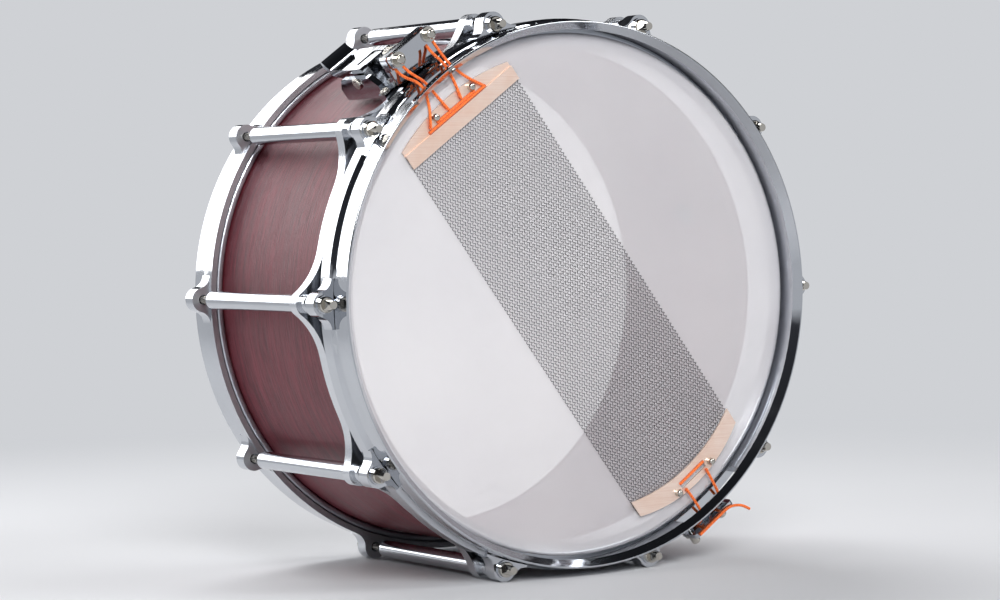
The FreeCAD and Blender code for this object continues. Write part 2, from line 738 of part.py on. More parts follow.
def make_lever():
    """Throw-off lever: two cheeks on the pivot, a crank pin between them and a curled thumb end."""
    x, z = pivot_r, pivot_height
    outer = x + lever_lift
    end = z - lever_length
    slant = lever_boss * math.sqrt(0.5)
    inner = outer - lever_thick
    profile = [
        line((outer, end + lever_curl), (outer, z + 2.0)),
        line((outer, z + 2.0), (x + lever_boss, z + lever_boss * 0.75)),
        line((x + lever_boss, z + lever_boss * 0.75), (x, z + lever_boss)),
        arc((x, z + lever_boss), (x - lever_boss, z), (x - slant, z - slant)),
        line((x - slant, z - slant), (inner, end + lever_curl)),
        arc((inner, end + lever_curl), (outer - 2.4, end + 1.6), (outer + 6.0, end - 2.6)),
        line((outer + 6.0, end - 2.6), (outer + 7.0, end)),
        arc((outer + 7.0, end), (outer + 1.6, end + 4.0), (outer, end + lever_curl)),
    ]
    body = Part.Face(Part.Wire(profile)).extrude(vec(0, 2.0 * cheek_half_width, 0))
    body.translate(vec(0, -cheek_half_width, 0))
    mouth = box(x - 20.0, outer + 1.0, -cheek_half_gap, cheek_half_gap, z - mouth_depth, z + 30.0)
    rest = math.radians(-crank_half_turn)
    crank = cross_pin(
        crank_radius, -cheek_half_gap - 0.5, cheek_half_gap + 0.5,
        x + crank_throw * math.cos(rest), z + crank_throw * math.sin(rest),
    )
    bores = [
        cross_pin(pivot_radius + 0.3, cheek_half_gap + 2.0, cheek_half_width + 1.0, x, z),
        cross_pin(pivot_radius + 0.3, -cheek_half_width - 1.0, -cheek_half_gap - 2.0, x, z),
    ]
    wide = cheek_half_width
    wedge = box(x - lever_length, x + lever_length, wide, 2.0 * wide, end - past, z + lever_boss)
    wedge.rotate(vec(x, cheek_half_width, z - mouth_depth), vec(1, 0, 0), -lever_taper)
    wedges = [wedge, wedge.mirror(vec(0, 0, 0), vec(0, 1, 0))]
    return body.cut([mouth] + wedges).fuse(crank).cut(bores).removeSplitter()


def make_pivot_pins():
    """Two stub pins with domed heads, pressed into the rails."""
    pins = []
    for side in (1.0, -1.0):
        shank = cross_pin(pivot_radius, cheek_half_gap + 2.4, base_half_width, pivot_r, pivot_height)
        dome = cross_pin(pivot_radius + 1.8, base_half_width, base_half_width + 1.8, pivot_r, pivot_height)
        rim = [e for e in dome.Edges if e.BoundBox.YMin > base_half_width + 0.5]
        pin = shank.fuse(dome.makeFillet(1.0, rim))
        pins.append(pin if side > 0 else pin.mirror(vec(0, 0, 0), vec(0, 1, 0)))
    return pins


def clamp_screw_sides():
    return (-clamp_screw_spacing / 2.0, clamp_screw_spacing / 2.0)


def make_clamp_bar():
    bar = box(clamp_r, jaw_out, -jaw_half_width, jaw_half_width, clamp_low, clamp_low + clamp_thick)
    corners = [e for e in bar.Edges if e.BoundBox.ZLength > 1.0]
    bar = bar.makeFillet(jaw_corner, corners)
    clear = clamp_shank_radius + rod_hole_clear / 2.0
    above = clamp_low + clamp_thick + past
    return bar.cut([rod(clear, clamp_low - past, above, clamp_mid_r, y) for y in clamp_screw_sides()])


def make_clamp_screws():
    """Flanged screws with a key head that close the clamp on the cords."""
    top = clamp_low + clamp_thick
    screws = []
    for y in clamp_screw_sides():
        shank = rod(clamp_shank_radius, jaw_low + 0.5, top, clamp_mid_r, y)
        flange = rod(clamp_screw_radius, top, top + clamp_screw_flange, clamp_mid_r, y)
        head = rod(clamp_head_radius, top, top + clamp_screw_flange + clamp_head_height, clamp_mid_r, y)
        rim = [e for e in head.Edges if e.BoundBox.ZMin > top + clamp_screw_flange]
        screws.append(shank.fuse([flange, head.makeFillet(clamp_head_round, rim)]))
    return screws


def make_mount_screws():
    """Radial screws through the feet into the ring's edge."""
    half = foot_screw_spacing / 2.0
    tip = chassis_radius - chassis_screw_depth + 1.0
    seat = base_r + foot_thick
    screws = []
    for side in (-1.0, 1.0):
        shank = radial_pin(foot_shank_radius, tip, seat, side * half, foot_screw_z)
        head = radial_pin(foot_screw_radius, seat, seat + foot_head_height, side * half, foot_screw_z)
        rim = [e for e in head.Edges if e.BoundBox.XMin > seat + 0.5]
        screws.append(shank.fuse(head.makeFillet(1.0, rim)))
    return screws


def make_knob():
    """Fluted fine-adjusting knob below the jaw, its stem screwed up through it."""
    x = clamp_mid_r
    top = jaw_low - 0.3
    body = rod(knob_radius, top - knob_height, top, x, knob_side)
    flutes = []
    for i in range(knob_flutes):
        angle = 2.0 * math.pi * i / knob_flutes
        fx = x + (knob_radius + 0.5) * math.cos(angle)
        fy = knob_side + (knob_radius + 0.5) * math.sin(angle)
        flutes.append(rod(0.9, top - knob_height - 1.0, top + 1.0, fx, fy))
    stem = rod(knob_stem, top, jaw_top - 1.0, x, knob_side)
    return body.cut(flutes).fuse(stem)


def make_butt_block():
    """Fixed block on the ring whose outer face is the lower jaw of the butt clamp."""
    wide = butt_half_width
    post = box(base_r - past, jaw_r + butt_jaw, -wide, wide, butt_low, skirt_bottom - skirt_clear)
    post = post.cut(rod(base_r, butt_low - past, skirt_bottom))
    lip = box(jaw_r, jaw_r + butt_jaw, -wide, wide, butt_low, butt_jaw_top)
    block = post.fuse([lip, make_feet()])
    tapped = clamp_shank_radius + thread_clear
    outside = jaw_r + butt_jaw + past
    holes = [radial_pin(tapped, jaw_r - past, outside, y, butt_screw_z()) for y in clamp_screw_sides()]
    return block.cut(holes + foot_holes()).removeSplitter()


def butt_screw_z():
    return (butt_clamp_low + butt_jaw_top) / 2.0


def butt_plate_r():
    return jaw_r + butt_jaw + 2.0 * (cord_radius + cord_slack)


def make_butt_clamp():
    low = butt_plate_r()
    plate = box(low, low + butt_clamp_thick, -jaw_half_width, jaw_half_width, butt_clamp_low, butt_clamp_top)
    corners = [e for e in plate.Edges if e.BoundBox.XLength > 1.0]
    plate = plate.makeFillet(jaw_corner, corners)
    clear = clamp_shank_radius + rod_hole_clear / 2.0
    outside = low + butt_clamp_thick + past
    return plate.cut([radial_pin(clear, low - past, outside, y, butt_screw_z()) for y in clamp_screw_sides()])


def make_butt_screws():
    seat = butt_plate_r() + butt_clamp_thick
    screws = []
    for y in clamp_screw_sides():
        shank = radial_pin(clamp_shank_radius, jaw_r + 0.5, seat, y, butt_screw_z())
        flange = radial_pin(clamp_screw_radius, seat, seat + clamp_screw_flange, y, butt_screw_z())
        head = radial_pin(clamp_head_radius, seat, seat + butt_screw_length, y, butt_screw_z())
        rim = [e for e in head.Edges if e.BoundBox.XMin > seat + clamp_screw_flange]
        screws.append(shank.fuse([flange, head.makeFillet(clamp_head_round, rim)]))
    return screws


# ---------------------------------------------------------------- snare cords
def between(a, b, along, across, lift):
    """A point on the way from a to b, with its own shares of the way along and across, and lifted."""
    return vec(a.x + along * (b.x - a.x), a.y + across * (b.y - a.y), (a.z + b.z) / 2.0 + lift)


def make_strainer_cord():
    """Two double loops from the end plate through the gate into the strainer's clamp, and the lacing."""
    pieces = [
        cross_pin(cord_radius, -lace_half_strainer, lace_half_strainer, strainer_lace_r, strainer_lace_z),
        cross_pin(cord_radius, -lace_half_second, lace_half_second, second_lace_r, strainer_lace_z),
    ]
    over_plate = folded_top + cord_radius + cord_over
    for side in (-1.0, 1.0):
        for leg in (-0.5, 0.5):
            at_plate = side * loop_at_plate + leg * plate_leg_gap
            row = strainer_lace_r if abs(at_plate) > lace_half_second + cord_radius else second_lace_r
            clamped = side * clamp_screw_spacing / 2.0 + leg * clamp_leg_gap
            start = vec(row + cord_radius + leg_start, at_plate, over_plate)
            gate = vec(rim_radius - 1.0, side * loop_at_gate + leg * cord_leg_gap, over_sill)
            points = [
                start,
                between(start, gate, 0.45, 0.6, 0.3),
                gate,
                vec(clamp_r - 5.5, clamped, cord_clamp_z),
                vec(jaw_out - 1.0, clamped, cord_clamp_z),
            ]
            tube, radii = tube_along(points, cord_radius)
            pieces.append(tube)
    return pieces


def make_butt_cord():
    """Two legs from the butt plate down into its clamp, and one run across it with a short free tail."""
    pieces = [cross_pin(cord_radius, -lace_half_butt, lace_half_butt, butt_lace_r, butt_lace_z)]
    slot_out = butt_lace_r + cord_radius + lace_clear + butt_slot
    over_plate = plate_top + cord_radius + cord_over
    jaw = jaw_r + butt_jaw + cord_radius + cord_slack
    for side in (-1.0, 1.0):
        start = vec(slot_out + cord_radius, side * 10.8, over_plate)
        gate = vec(rim_radius - 1.0, side * 9.6, over_sill)
        points = [
            start,
            between(start, gate, 0.45, 0.6, 0.3),
            gate,
            vec(jaw, side * 9.0, butt_clamp_top - 5.0),
            vec(jaw, side * 9.0, butt_clamp_low + 2.0),
        ]
        tube, radii = tube_along(points, cord_radius)
        pieces.append(tube)
    across = butt_plate_r() + cord_radius + 0.6
    front = butt_clamp_top + cord_radius + 0.1
    tail = [
        vec(across, -17.0, front),
        vec(across, 0.0, front + 0.2),
        vec(across + 0.4, 15.0, front),
        vec(across + 6.0, 23.0, front + 0.5),
        vec(across + 13.0, 27.0, front + 0.5),
    ]
    tube, radii = tube_along(tail, cord_radius)
    print("butt cord tail radii", [round(radius, 1) for radius in radii])
    pieces.append(tube)
    return pieces


# ---------------------------------------------------------------- files
def at_strainer(shapes):
    return [turned(shape, station) for shape in shapes]


def at_butt(shapes):
    return [turned(shape, butt_station) for shape in shapes]


def main():
    os.makedirs("parts", exist_ok=True)
    save("shell", [make_shell()])
    save("air_vent", [make_air_vent()])
    save("chassis_ring", [make_chassis_ring()])
    head = make_head()
    flesh = make_flesh_hoop()
    save("snare_head", [head])
    save("snare_flesh_hoop", [flesh])
    save("batter_head", [flipped(head)])
    save("batter_flesh_hoop", [flipped(flesh)])
    save("snare_hoop", [make_snare_hoop()])
    save("batter_hoop", [flipped(make_hoop())])
    save("lug_bushings", at_lugs(make_bushing()))
    save("lug_inserts", at_lugs(make_insert()))
    washers = at_lugs(make_washer())
    save("snare_washers", washers)
    save("batter_washers", [flipped(washer) for washer in washers])
    tube = make_tube_lug()
    tension_rod = make_tension_rod()
    for i, angle in enumerate(lug_angles):
        save("tube_lug_%02d" % (i + 1), [turned(tube, angle)])
        save("snare_rod_%02d" % (i + 1), [turned(tension_rod, angle)])
        save("batter_rod_%02d" % (i + 1), [flipped(turned(tension_rod, angle))])
    save("snare_strands", at_strainer(snare_strands()))
    save("strainer_end_plate", at_strainer([make_strainer_plate()]))
    save("butt_end_plate", at_butt([make_butt_plate()]))
    screws = at_strainer(make_plate_screws(folded_top)) + at_butt(make_plate_screws(plate_top))
    save("plate_screws", screws)
    save("strainer_base", at_strainer([make_strainer_base()]))
    save("strainer_slider", at_strainer([make_slider()]))
    save("strainer_lever", at_strainer([make_lever()]))
    save("lever_pivot_pins", at_strainer(make_pivot_pins()))
    save("strainer_clamp_bar", at_strainer([make_clamp_bar()]))
    save("strainer_clamp_screws", at_strainer(make_clamp_screws()))
    mount_screws = make_mount_screws()
    save("mount_screws", at_strainer(mount_screws) + at_butt(mount_screws))
    save("tension_knob", at_strainer([make_knob()]))
    save("butt_block", at_butt([make_butt_block()]))
    save("butt_clamp_plate", at_butt([make_butt_clamp()]))
    save("butt_clamp_screws", at_butt(make_butt_screws()))
    save("strainer_cord", at_strainer(make_strainer_cord()))
    save("butt_cord", at_butt(make_butt_cord()))


main()
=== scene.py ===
import bpy
import json
import math
import numpy as np
from mathutils import Matrix, Vector


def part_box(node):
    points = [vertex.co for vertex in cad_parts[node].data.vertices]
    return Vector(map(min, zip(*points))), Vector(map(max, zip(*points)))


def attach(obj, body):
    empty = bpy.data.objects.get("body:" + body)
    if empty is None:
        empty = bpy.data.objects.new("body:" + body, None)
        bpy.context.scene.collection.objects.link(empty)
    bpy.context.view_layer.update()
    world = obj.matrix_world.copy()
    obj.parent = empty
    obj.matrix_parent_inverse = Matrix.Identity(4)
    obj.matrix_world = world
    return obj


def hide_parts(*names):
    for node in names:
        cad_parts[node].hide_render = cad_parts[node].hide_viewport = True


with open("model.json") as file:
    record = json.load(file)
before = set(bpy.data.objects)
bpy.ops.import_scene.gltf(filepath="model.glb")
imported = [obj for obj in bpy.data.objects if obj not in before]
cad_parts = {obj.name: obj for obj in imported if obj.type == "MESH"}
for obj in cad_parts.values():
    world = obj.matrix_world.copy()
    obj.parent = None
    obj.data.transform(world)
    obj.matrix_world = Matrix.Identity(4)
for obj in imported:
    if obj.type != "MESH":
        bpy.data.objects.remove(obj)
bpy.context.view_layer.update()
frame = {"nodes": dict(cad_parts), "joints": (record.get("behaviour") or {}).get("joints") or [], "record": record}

NODES = frame["nodes"]
RECORD = frame["record"]
JOINTS = {j["name"]: j for j in frame["joints"]}


# ---------------------------------------------------------------- where the drum lies
def middle(node):
    low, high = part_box(node)
    return (low + high) / 2.0


AXIS_HEIGHT = middle("shell").z                      # the drum's axis runs along Y at this height
AXIS = Vector((0.0, 0.0, AXIS_HEIGHT))
RIM_FRONT = -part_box("snare_hoop")[0].y               # both rims lie this far from the drum's middle
ROD_FRONT = -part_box("snare_washers")[1].y            # front faces of the snare hoop's ears
SHELL_INNER_RADIUS = 0.1695                          # in metres, under a wall of 7.5 mm
TANGENT = Vector(JOINTS["throw_off"]["axis"]).normalized()          # across the snare wires
OUTWARD = Vector((0.0, 1.0, 0.0)).cross(TANGENT).normalized()       # along them, towards the strainer
if OUTWARD.dot(middle("strainer_base") - AXIS) < 0.0:
    OUTWARD = -OUTWARD


# ---------------------------------------------------------------- camera
def make_camera():
    """The view of the snare side from its left, a little above its axis, with a long lens."""
    azimuth = math.radians(-33.59)
    elevation = math.radians(1.88)
    roll = math.radians(-1.11)
    distance = 2.0
    lens = 106.3
    shift = (-0.0772, -0.0053)
    before_ears = 0.005                              # it aims at the axis, this far before the ears
    target = AXIS + Vector((0.0, -(ROD_FRONT + before_ears), 0.0))
    level = math.cos(elevation)
    back = Vector((math.sin(azimuth) * level, -math.cos(azimuth) * level, math.sin(elevation)))
    level_right = Vector((0.0, 0.0, 1.0)).cross(back).normalized()
    level_up = back.cross(level_right)
    right = math.cos(roll) * level_right + math.sin(roll) * level_up
    up = math.cos(roll) * level_up - math.sin(roll) * level_right
    data = bpy.data.cameras.new("camera")
    data.sensor_width = 36.0
    data.lens = lens
    data.shift_x = shift[0]
    data.shift_y = shift[1]
    data.clip_end = 60.0
    camera = bpy.data.objects.new("camera", data)
    bpy.context.scene.collection.objects.link(camera)
    turn = Matrix((right, up, back)).transposed().to_4x4()
    camera.matrix_world = Matrix.Translation(target + back * distance) @ turn
    bpy.context.scene.camera = camera


make_camera()


# ---------------------------------------------------------------- material kit
def material(name):
    """A new material's tree and its Principled shader."""
    made = bpy.data.materials.new(name)
    made.use_nodes = True
    tree = made.node_tree
    tree.nodes.clear()
    out = tree.nodes.new("ShaderNodeOutputMaterial")
    shader = tree.nodes.new("ShaderNodeBsdfPrincipled")
    tree.links.new(shader.outputs["BSDF"], out.inputs["Surface"])
    return made, tree, shader


def put(tree, socket, value):
    """Link a socket into another, or set its value."""
    if isinstance(value, bpy.types.NodeSocket):
        tree.links.new(value, socket)
    else:
        socket.default_value = value


def add(tree, kind, inputs=None, **settings):
    """A node with its settings, its inputs given by name or number as values or as sockets."""
    node = tree.nodes.new("ShaderNode" + kind)
    for key, value in settings.items():
        setattr(node, key, value)
    for key, value in (inputs or {}).items():
        put(tree, node.inputs[key], value)
    return node


def fill(tree, shader, **inputs):
    """Set the shader's inputs, named with underscores for their spaces."""
    for key, value in inputs.items():
        put(tree, shader.inputs[key.replace("_", " ")], value)


def place(tree, scale=(1.0, 1.0, 1.0), offset=(0.0, 0.0, 0.0), turn=(0.0, 0.0, 0.0)):
    """Object coordinates, which are the drum's own frame in metres, scaled for a texture."""
    where = add(tree, "TexCoord").outputs["Object"]
    mapping = add(tree, "Mapping", {"Vector": where, "Location": offset, "Rotation": turn, "Scale": scale})
    return mapping.outputs["Vector"]


def noise(tree, vector, scale, detail=2.0, rough=0.5, distortion=0.0):
    inputs = {"Vector": vector, "Scale": scale, "Detail": detail, "Roughness": rough,
              "Distortion": distortion}
    return add(tree, "TexNoise", inputs).outputs["Fac"]


def ranged(tree, value, low, high, new_low, new_high):
    """The value's stretch from low to high, spread from new_low to new_high."""
    inputs = {"Value": value, "From Min": low, "From Max": high, "To Min": new_low, "To Max": new_high}
    return add(tree, "MapRange", inputs).outputs["Result"]


def mask(tree, value, low, high, most=1.0):
    """Nothing up to low, rising to most at high."""
    return ranged(tree, value, low, high, 0.0, most)


def varied(tree, value, smooth, rough):
    """A roughness that follows the middle part of a noise."""
    return ranged(tree, value, 0.3, 0.7, smooth, rough)


def maths(tree, operation, a, b=0.0):
    return add(tree, "Math", {0: a, 1: b}, operation=operation).outputs[0]


def ramp(tree, value, stops):
    """Colours at their positions, blended between them."""
    node = add(tree, "ValToRGB", {"Fac": value})
    elements = node.color_ramp.elements
    while len(elements) < len(stops):
        elements.new(0.5)
    for element, (position, colour) in zip(elements, stops):
        element.position = position
        element.color = (*colour, 1.0)
    return node.outputs["Color"]


def mixed(tree, factor, a, b):
    """Colour a where the factor is 0 and colour b where it is 1."""
    node = add(tree, "Mix", data_type="RGBA")
    put(tree, node.inputs[0], factor)
    for socket, value in ((node.inputs[6], a), (node.inputs[7], b)):
        put(tree, socket, value if isinstance(value, bpy.types.NodeSocket) else (*value, 1.0))
    return node.outputs[2]


def bump(tree, height, strength, distance):
    inputs = {"Height": height, "Strength": strength, "Distance": distance}
    return add(tree, "Bump", inputs).outputs["Normal"]


def srgb(code):
    """Linear colour of a #rrggbb code."""
    parts = [int(code[i:i + 2], 16) / 255.0 for i in (1, 3, 5)]
    return tuple(c / 12.92 if c <= 0.04045 else ((c + 0.055) / 1.055) ** 2.4 for c in parts)


# ---------------------------------------------------------------- materials
def unbuffed_backs_and_shaded_inside(tree):
    """Two masks: 1 on the backs of the batter side's castings, where no buffing reaches, and 1 inside the shell,
    where the chrome is painted dark as shade.
    """
    batter_side = RIM_FRONT * 0.55
    inside_reach = SHELL_INNER_RADIUS + 0.007        # nearly through the wall, for the vent's barrel
    where = add(tree, "TexCoord").outputs
    looks = add(tree, "SeparateXYZ", {0: where["Normal"]}).outputs["Y"]
    spot = add(tree, "SeparateXYZ", {0: where["Object"]}).outputs
    behind = maths(tree, "GREATER_THAN", spot["Y"], batter_side)
    back = maths(tree, "MULTIPLY", behind, mask(tree, looks, -0.55, -0.85))
    up = maths(tree, "SUBTRACT", spot["Z"], AXIS_HEIGHT)
    up_squared = maths(tree, "MULTIPLY", up, up)
    right_squared = maths(tree, "MULTIPLY", spot["X"], spot["X"])
    radius = maths(tree, "SQRT", maths(tree, "ADD", up_squared, right_squared))
    # mask for the painted shade on chrome inside the shell
    inside = maths(tree, "LESS_THAN", radius, inside_reach)
    return back, inside


def chrome(name, colour, rough):
    """Plated castings: mirror bright, with the plating's faint waviness and hazy handling marks."""
    back_roughness = 0.42
    inside_roughness = 0.7
    made, tree, shader = material(name)
    smear = noise(tree, place(tree), 22.0, 4.0, 0.6, 0.6)
    fine = noise(tree, place(tree), 900.0, 2.0)
    hazy = maths(tree, "ADD", ranged(tree, smear, 0.35, 0.75, rough, rough * 2.4),
                 mask(tree, fine, 0.3, 0.7, rough * 0.4))
    tone = mixed(tree, mask(tree, smear, 0.3, 0.8), colour, tuple(c * 0.93 for c in colour))
    ripple = bump(tree, noise(tree, place(tree), 55.0, 2.0), 0.012, 0.01)
    back, inside = unbuffed_backs_and_shaded_inside(tree)
    tone = mixed(tree, back, tone, srgb("#bcbec3"))
    # painted shade: chrome inside the shell is darkened to a dim grey, standing in for the shade within the drum
    tone = mixed(tree, inside, tone, srgb("#4a4b4e"))
    dull_back = maths(tree, "MULTIPLY", back, back_roughness)
    dull_inside = maths(tree, "MULTIPLY", inside, inside_roughness)
    dull = maths(tree, "MAXIMUM", dull_back, dull_inside)
    fill(tree, shader, Base_Color=tone, Metallic=1.0, Roughness=maths(tree, "MAXIMUM", hazy, dull),
         Normal=ripple)
    return made


def threaded_chrome(name, colour, rough):
    """Rods and screws: a little darker and warmer, with the thread on the shank below the hoops' ears."""
    pitch = 0.0009
    thread_end = ROD_FRONT - 0.009
    made, tree, shader = material(name)
    along = add(tree, "SeparateXYZ", {0: add(tree, "TexCoord").outputs["Object"]}).outputs["Y"]
    turns = maths(tree, "SINE", maths(tree, "MULTIPLY", along, 2.0 * math.pi / pitch))
    on_shank = maths(tree, "LESS_THAN", maths(tree, "ABSOLUTE", along), thread_end)
    thread = maths(tree, "MULTIPLY", turns, on_shank)
    smear = noise(tree, place(tree), 60.0, 3.0, 0.6)
    tone = mixed(tree, mask(tree, smear, 0.3, 0.8), colour, tuple(c * 0.86 for c in colour))
    fill(tree, shader, Base_Color=tone, Metallic=1.0, Roughness=varied(tree, smear, rough, rough * 1.8),
         Normal=bump(tree, thread, 0.5, 0.0002))
    return made


def cast_metal(name):
    """The chassis ring: bright plated casting, softer than the hoops."""
    made, tree, shader = material(name)
    cloud = noise(tree, place(tree), 14.0, 4.0, 0.55)
    grit = noise(tree, place(tree), 1400.0, 2.0)
    tone = mixed(tree, mask(tree, cloud, 0.3, 0.75), srgb("#d6d8dc"), srgb("#c3c6cb"))
    fill(tree, shader, Base_Color=tone, Metallic=1.0, Roughness=varied(tree, cloud, 0.16, 0.24),
         Normal=bump(tree, grit, 0.05, 0.0004))
    return made


def rolled_metal(name):
    """Flesh hoops: drawn aluminium with its lines running round the drum."""
    made, tree, shader = material(name)
    lines = noise(tree, place(tree, (4.0, 900.0, 4.0)), 1.0, 3.0)
    fill(tree, shader, Base_Color=mixed(tree, lines, srgb("#c9ccd2"), srgb("#aeb2ba")), Metallic=1.0,
         Roughness=varied(tree, lines, 0.26, 0.4), Normal=bump(tree, lines, 0.06, 0.0005))
    return made


def stained_wood(name):
    """Thin wine-red stain on open-grained veneer, its grain running round the shell."""
    made, tree, shader = material(name)
    streak = noise(tree, place(tree, (4.0, 150.0, 4.0)), 1.0, 6.0, 0.7, 0.7)
    cathedral = noise(tree, place(tree, (7.0, 40.0, 7.0), (3.1, 0.0, 1.7)), 1.0, 3.0, 0.55, 1.4)
    pores = noise(tree, place(tree, (34.0, 1300.0, 34.0)), 1.0, 3.0, 0.65, 0.3)
    rays = noise(tree, place(tree, (70.0, 600.0, 70.0), (0.4, 0.2, 0.9)), 1.0, 2.0, 0.5, 0.6)
    tone = ramp(tree, streak, [(0.28, srgb("#561a23")), (0.46, srgb("#6b2630")), (0.58, srgb("#7c323d")),
                               (0.74, srgb("#5b1e27"))])
    tone = mixed(tree, mask(tree, cathedral, 0.42, 0.68, 0.5), tone, srgb("#843a45"))
    tone = mixed(tree, mask(tree, rays, 0.52, 0.68, 0.5), tone, srgb("#461019"))
    tone = mixed(tree, mask(tree, pores, 0.5, 0.62, 0.7), tone, srgb("#330a11"))
    height = maths(tree, "ADD", maths(tree, "MULTIPLY", pores, -0.6), maths(tree, "MULTIPLY", streak, 0.4))
    fill(tree, shader, Base_Color=tone, Roughness=varied(tree, streak, 0.4, 0.52),
         Normal=bump(tree, height, 0.8, 0.0009))
    shader.inputs["Specular IOR Level"].default_value = 0.65
    shader.inputs["Specular Tint"].default_value = (1.0, 0.74, 0.79, 1.0)
    return made


def film(name, colour, shade, opacity, rough):
    """Snare head: thin hazy film that lets the inside show through, with faint clouding."""
    made, tree, shader = material(name)
    cloud = noise(tree, place(tree), 9.0, 3.0, 0.5)
    grain = noise(tree, place(tree), 1800.0, 2.0)
    tone = mixed(tree, mask(tree, cloud, 0.35, 0.7), colour, shade)
    fill(tree, shader, Base_Color=tone, Roughness=varied(tree, cloud, rough, rough * 1.35),
         Normal=bump(tree, grain, 0.04, 0.0002), Alpha=opacity)
    shader.inputs["Specular IOR Level"].default_value = 0.42
    return made


def coated_film(name):
    """Batter head: white sprayed coating with a sandy tooth."""
    made, tree, shader = material(name)
    grit = noise(tree, place(tree), 2600.0, 3.0, 0.6)
    cloud = noise(tree, place(tree), 16.0, 3.0)
    tone = mixed(tree, mask(tree, cloud, 0.35, 0.7), srgb("#f1f0ee"), srgb("#e6e5e4"))
    fill(tree, shader, Base_Color=tone, Roughness=varied(tree, grit, 0.5, 0.7),
         Normal=bump(tree, grit, 0.35, 0.0003))
    shader.inputs["Subsurface Weight"].default_value = 0.6
    shader.inputs["Subsurface Scale"].default_value = 0.002
    shader.inputs["Subsurface Radius"].default_value = (1.0, 1.0, 1.0)
    return made


def brushed_copper(name):
    """End plates: bare pale rose copper, brushed in one direction and toned in faint clouds."""
    made, tree, shader = material(name)
    across = math.atan2(TANGENT.z, TANGENT.x)
    lines = noise(tree, place(tree, (24.0, 24.0, 1500.0), turn=(0.0, across, 0.0)), 1.0, 3.0, 0.6)
    cloud = noise(tree, place(tree), 34.0, 4.0, 0.6)
    tone = mixed(tree, mask(tree, cloud, 0.35, 0.7), srgb("#f8e3d6"), srgb("#efd0be"))
    tone = mixed(tree, mask(tree, lines, 0.4, 0.7, 0.3), tone, srgb("#d8ac95"))
    fill(tree, shader, Base_Color=tone, Metallic=0.7, Roughness=varied(tree, lines, 0.3, 0.46),
         Normal=bump(tree, lines, 0.12, 0.0003))
    return made


def snare_wire(name):
    """Drawn steel wire, painted dark as shade, standing in for the dark surroundings it reflects, with clouds of
    tone at random.
    """
    made, tree, shader = material(name)
    cloud = noise(tree, place(tree), 120.0, 3.0)
    # painted shade: the dark tone stands in for dark surroundings reflected in the steel
    tone = mixed(tree, mask(tree, cloud, 0.3, 0.7), srgb("#434347"), srgb("#29292c"))
    fill(tree, shader, Base_Color=tone, Metallic=1.0, Roughness=varied(tree, cloud, 0.26, 0.4))
    return made


def braided_cord(name):
    """Bright orange braid: two sets of strands that cross, with painted shade in the gaps between them and a
    painted highlight on their crowns.
    """
    made, tree, shader = material(name)
    strands = []
    for turn in ((0.6, 0.3, 0.5), (-0.6, -0.4, -0.7)):
        inputs = {"Vector": place(tree, turn=turn), "Scale": 330.0, "Distortion": 0.6}
        strands.append(add(tree, "TexWave", inputs, wave_type="BANDS").outputs["Fac"])
    weave = maths(tree, "MAXIMUM", *strands)
    fuzz = noise(tree, place(tree), 1500.0, 2.0)
    # painted shade dark in the gaps between the strands, painted highlight bright on their crowns
    tone = ramp(tree, weave, [(0.25, srgb("#c24404")), (0.7, srgb("#f06212")), (1.0, srgb("#ff8230"))])
    fill(tree, shader, Base_Color=tone, Roughness=varied(tree, fuzz, 0.6, 0.8),
         Normal=bump(tree, weave, 0.5, 0.0003))
    shader.inputs["Sheen Weight"].default_value = 0.25
    return made


def make_materials():
    """One material for each slot of the record."""
    return {
        "shell_wood": stained_wood("shell_wood"),
        "cast_aluminium": cast_metal("cast_aluminium"),
        "chrome": chrome("chrome", srgb("#c3c6cb"), 0.04),
        "rod_chrome": threaded_chrome("rod_chrome", srgb("#c2beb6"), 0.06),
        "film": film("film", srgb("#f0eef1"), srgb("#e9e7eb"), 0.36, 0.2),
        "batter_film": coated_film("batter_film"),
        "bright_aluminium": rolled_metal("bright_aluminium"),
        "copper_plate": brushed_copper("copper_plate"),
        "snare_steel": snare_wire("snare_steel"),
        "cord": braided_cord("cord"),
    }


MATERIALS = make_materials()
for part in RECORD["subparts"]:
    node = NODES[part["node"]]
    node.data.materials.clear()
    node.data.materials.append(MATERIALS[part["material_slot"]])


# ---------------------------------------------------------------- snare wires
def tube_mesh(name, paths, radius, sides):
    """One mesh of round tubes along paths of points, each closed by a face at both ends."""
    verts, faces, caps = [], [], []
    corner = np.linspace(0.0, 2.0 * math.pi, sides, endpoint=False)
    guide = np.array((0.0, 1.0, 0.0))
    base = 0
    for path in paths:
        ahead = np.gradient(path, axis=0)
        ahead /= np.linalg.norm(ahead, axis=1)[:, None]
        side = np.cross(ahead, guide)
        side /= np.linalg.norm(side, axis=1)[:, None]
        up = np.cross(side, ahead)
        sideways = np.cos(corner)[None, :, None] * side[:, None, :]
        upwards = np.sin(corner)[None, :, None] * up[:, None, :]
        verts.append((path[:, None, :] + radius * (sideways + upwards)).reshape(-1, 3))
        ring_starts = base + np.arange(len(path) - 1)[:, None] * sides
        first = ring_starts + np.arange(sides)[None, :]
        after = ring_starts + (np.arange(sides)[None, :] + 1) % sides
        faces.append(np.stack([first, first + sides, after + sides, after], axis=-1).reshape(-1, 4))
        start_cap = list(range(base, base + sides))
        base += len(path) * sides
        end_cap = list(range(base - 1, base - sides - 1, -1))
        caps += [start_cap, end_cap]
    mesh = bpy.data.meshes.new(name)
    mesh.from_pydata(np.concatenate(verts).tolist(), [], np.concatenate(faces).tolist() + caps)
    mesh.polygons.foreach_set("use_smooth", [True] * len(mesh.polygons))
    mesh.update()
    return mesh


def wire_set_size(low, high):
    """Length and width of the tilted set of wires, worked out from its upright box."""
    across = abs(TANGENT.x)
    along = abs(OUTWARD.x)
    span_x = high.x - low.x
    span_z = high.z - low.z
    tilt = along * along - across * across
    length = (span_x * along - span_z * across) / tilt
    width = (span_z * along - span_x * across) / tilt
    return length, width


